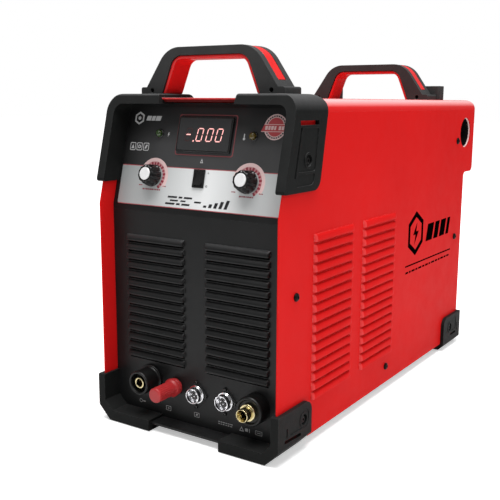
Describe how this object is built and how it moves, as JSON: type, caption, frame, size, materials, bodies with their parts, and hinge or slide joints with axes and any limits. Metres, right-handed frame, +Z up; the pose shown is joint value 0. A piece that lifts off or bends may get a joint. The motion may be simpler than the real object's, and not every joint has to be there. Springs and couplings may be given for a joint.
{
  "type": "plasma cutter power source",
  "caption": "Portable inverter plasma cutter power source with louvred sheet cover, leaning control panel, corner guards, carry handles, output sockets and rear air regulator.",
  "frame": {"origin": "on the floor plane under the feet, midway between the sides, level with the front edge of the sheet cover", "axes": "+X to the right seen from the front, +Y from front to back, +Z up"},
  "size_m": [0.2498, 0.5948, 0.4309],
  "materials": {
    "red_paint": "satin powder coat",
    "grey_paint": "fine texture powder coat",
    "zinc": "zinc plated sheet",
    "panel_plastic": "fine grain",
    "guard_plastic": "fine grain",
    "film": "printed overlay film, dark upper field and silver band",
    "window": "smoked, polished",
    "board": "solder mask",
    "chrome": "polished",
    "green_lens": "tinted",
    "amber_lens": "tinted",
    "knob_black": "satin",
    "aluminium": "spun face",
    "heatsink_alu": "mill finish",
    "switch_black": "satin",
    "brass": "turned",
    "red_plastic": "satin",
    "socket_black": "satin",
    "handle_red": "moulded",
    "screw_black": "black oxide",
    "fan_black": "moulded",
    "grille": "plated wire",
    "breaker": "moulded",
    "lead": "matt jacket",
    "bowl": "clear polycarbonate",
    "reg_body": "painted die casting",
    "needle": "matt",
    "copper": "enamelled winding and ferrite"
  },
  "bodies": {
    "chassis": {"air_inlet": "zinc", "base_tray": "zinc", "breaker_body": "breaker", "cable_gland": "socket_black", "case_cover": "red_paint", "control_board": "board", "cover_screws": "screw_black", "display_window": "window", "earth_stud": "zinc", "fan_frame": "fan_black", "fan_guard": "grille", "filter_bowl": "bowl", "front_handle_core": "handle_red", "front_handle_shell_back": "guard_plastic", "front_handle_shell_front": "guard_plastic", "front_panel": "panel_plastic", "gauge_case": "socket_black", "guard_lower_front_left": "guard_plastic", "guard_lower_front_right": "guard_plastic", "guard_lower_rear_left": "guard_plastic", "guard_lower_rear_right": "guard_plastic", "guard_upper_left": "guard_plastic", "guard_upper_right": "guard_plastic", "handle_screws": "screw_black", "heatsinks": "heatsink_alu", "lamp_amber": "amber_lens", "lamp_bezels": "socket_black", "lamp_green": "green_lens", "mains_lead": "lead", "mid_shelf": "zinc", "mode_switch_body": "switch_black", "panel_overlay": "film", "potentiometers": "zinc", "power_board": "board", "rear_handle_core": "handle_red", "rear_handle_shell_back": "guard_plastic", "rear_handle_shell_front": "guard_plastic", "rear_panel": "grey_paint", "regulator_body": "reg_body", "signal_inserts": "socket_black", "signal_sockets": "chrome", "solenoid_valve": "zinc", "terminal_post": "brass", "top_stop_blocks": "guard_plastic", "torch_socket_body": "socket_black", "torch_socket_brass": "brass", "transformer": "copper", "work_socket_brass": "brass", "work_socket_collar": "socket_black"},
    "knob_left": {"knob_left": "knob_black", "knob_left_cap": "aluminium"},
    "knob_right": {"knob_right": "knob_black", "knob_right_cap": "aluminium"},
    "mode_rocker": {"mode_switch_rocker": "switch_black"},
    "terminal_carrier": {"terminal_insert": "brass"},
    "terminal_cap": {"terminal_cap": "red_plastic"},
    "fan_rotor": {"fan_rotor": "fan_black"},
    "breaker_lever": {"breaker_lever": "breaker"},
    "regulator_knob": {"regulator_knob": "knob_black"},
    "gauge_needle": {"gauge_needle": "needle"}
  },
  "joints": [
    {"name": "left_dial_turn", "type": "hinge", "parent": "chassis", "child": "knob_left", "pos_m": [-0.064, 0.0221, 0.29153], "axis": [0, 0.9681, -0.2504], "range_deg": [0, 300]},
    {"name": "right_dial_turn", "type": "hinge", "parent": "chassis", "child": "knob_right", "pos_m": [0.064, 0.0221, 0.29153], "axis": [0, 0.9681, -0.2504], "range_deg": [0, 300]},
    {"name": "mode_rocker_tilt", "type": "hinge", "parent": "chassis", "child": "mode_rocker", "pos_m": [0, 0.02992, 0.28982], "axis": [1, 0, 0], "range_deg": [0, 16]},
    {"name": "terminal_travel", "type": "slide", "parent": "chassis", "child": "terminal_carrier", "axis": [0, -1, 0], "range_m": [0, 0.0051]},
    {"name": "terminal_turn", "type": "hinge", "parent": "terminal_carrier", "child": "terminal_cap", "pos_m": [-0.029, 0, 0.051], "axis": [0, -1, 0], "range_deg": [0, 1200]},
    {"name": "fan_spin", "type": "hinge", "parent": "chassis", "child": "fan_rotor", "pos_m": [0, 0.4995, 0.168], "axis": [0, 1, 0], "continuous": true},
    {"name": "breaker_throw", "type": "hinge", "parent": "chassis", "child": "breaker_lever", "pos_m": [-0.078, 0.519, 0.262], "axis": [1, 0, 0], "range_deg": [0, 60]},
    {"name": "pressure_set", "type": "hinge", "parent": "chassis", "child": "regulator_knob", "pos_m": [0.046, 0.541, 0.35], "axis": [0, 0, -1], "range_deg": [0, 1080]},
    {"name": "gauge_sweep", "type": "hinge", "parent": "chassis", "child": "gauge_needle", "pos_m": [0.046, 0.5676, 0.322], "axis": [0, -1, 0], "range_deg": [0, 270]}
  ],
  "couplings": [
    {"joint": "terminal_travel", "follows": "terminal_turn", "m_per_rad": 0.00023873},
    {"joint": "gauge_sweep", "follows": "pressure_set", "ratio": 0.2}
  ]
}
